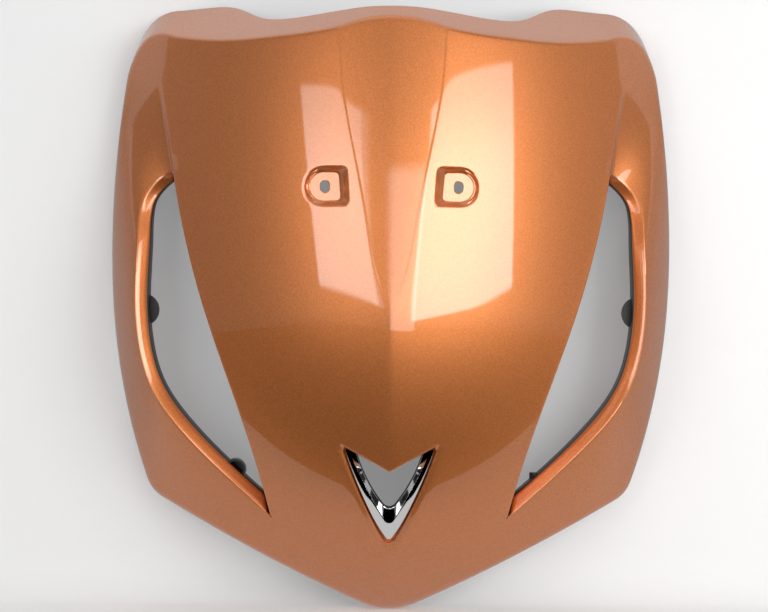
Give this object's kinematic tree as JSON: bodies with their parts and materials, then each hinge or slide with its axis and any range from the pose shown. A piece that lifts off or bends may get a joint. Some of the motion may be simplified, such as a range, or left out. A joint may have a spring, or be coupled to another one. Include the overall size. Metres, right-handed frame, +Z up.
{
  "type": "scooter front fairing",
  "caption": "Crowned scooter front cover with a flat centre facet, swept side slots for lamps, plate screw pockets and a plated V garnish on the chin.",
  "frame": {"origin": "centre of the four screw bosses inside the cover, in the plane of their seats", "axes": "+X to the viewer's right, +Y from the front to the back, +Z up as the cover is fitted on the scooter"},
  "size_m": [0.4174, 0.1519, 0.448],
  "materials": {
    "cover_paint": "metallic copper-orange paint under a clear coat, bare black plastic inside",
    "garnish_plating": "bright plating on moulded plastic",
    "nut_steel": "spring steel"
  },
  "bodies": {
    "root": {"front_cover": "cover_paint", "v_garnish": "garnish_plating", "push_nuts": "nut_steel"}
  },
  "joints": []
}
